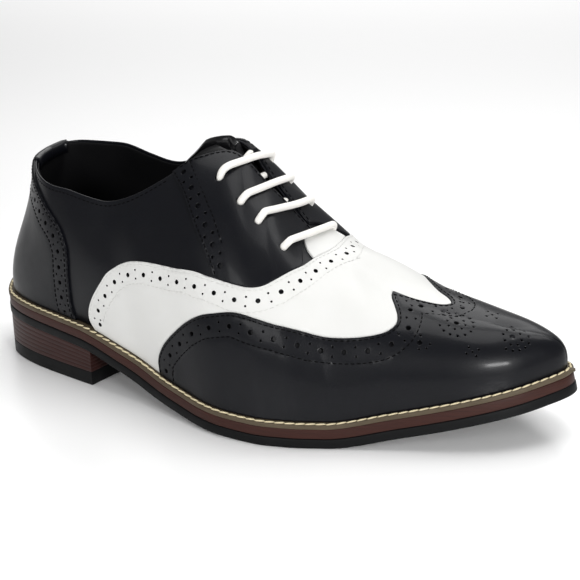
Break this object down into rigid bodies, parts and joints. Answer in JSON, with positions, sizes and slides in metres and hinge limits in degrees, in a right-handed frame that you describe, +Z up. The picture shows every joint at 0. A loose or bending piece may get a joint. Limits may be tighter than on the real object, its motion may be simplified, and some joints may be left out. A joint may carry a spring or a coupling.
{
  "type": "spectator wingtip dress shoe",
  "caption": "Two-tone wingtip lace-up dress shoe for the right foot, with brogued panels, a closed lacing slit, a welted sole and a stacked heel.",
  "frame": {"origin": "on the floor under the centre of the shoe's bounding box", "axes": "+X towards the toe, -Y to the lateral (outer) side, +Z up"},
  "size_m": [0.308, 0.1072, 0.1245],
  "materials": {
    "black_leather": "smooth, polished",
    "white_leather": "smooth, semi-gloss",
    "black_lining": "matte lining leather",
    "brown_leather": "stained and burnished edge",
    "tan_leather": "matte",
    "black_rubber": "satin edge",
    "white_cotton": "round braided cord"
  },
  "bodies": {
    "root": {"outsole": "black_rubber", "midsole": "brown_leather", "welt": "tan_leather", "insole": "black_lining", "heel_toplift": "black_rubber", "heel_stack": "brown_leather", "upper": "black_leather", "vamp": "white_leather", "throat_tab": "white_leather", "wing_cap": "black_leather", "facing_lateral": "black_leather", "facing_medial": "black_leather", "counter": "black_leather", "tongue": "black_lining", "lace_bar_1": "white_cotton", "lace_bar_2": "white_cotton", "lace_bar_3": "white_cotton", "lace_bar_4": "white_cotton"}
  },
  "joints": []
}
